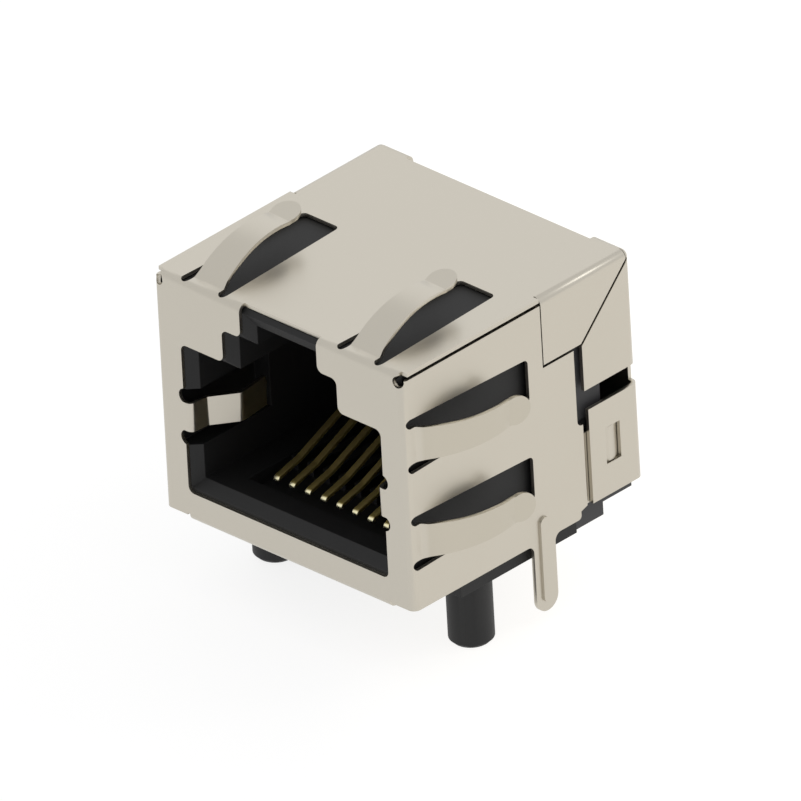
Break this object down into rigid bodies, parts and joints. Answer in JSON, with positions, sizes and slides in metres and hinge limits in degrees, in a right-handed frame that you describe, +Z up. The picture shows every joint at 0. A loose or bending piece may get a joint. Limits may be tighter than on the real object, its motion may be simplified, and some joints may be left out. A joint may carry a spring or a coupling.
{
  "type": "rj45 board jack",
  "caption": "Shielded modular jack for a circuit board: folded metal shell with spring fingers round a black plastic housing, opening at the front.",
  "frame": {"origin": "on the circuit board's top face, midway between the axes of the two plastic locating posts", "axes": "+Z up from the board, +Y from the plug opening towards the rear, +X to the right seen from the plug's side"},
  "size_m": [0.0196, 0.0155, 0.0189],
  "materials": {
    "shield_metal": "satin nickel plate over copper alloy sheet",
    "housing_plastic": "black moulded, fine matte",
    "carrier_plastic": "black moulded, fine matte",
    "contact_metal": "gold over nickel at the contact area"
  },
  "bodies": {
    "root": {"shield": "shield_metal", "housing": "housing_plastic", "contact_carrier": "carrier_plastic", "contact_1": "contact_metal", "contact_2": "contact_metal", "contact_3": "contact_metal", "contact_4": "contact_metal", "contact_5": "contact_metal", "contact_6": "contact_metal", "contact_7": "contact_metal", "contact_8": "contact_metal"}
  },
  "joints": []
}
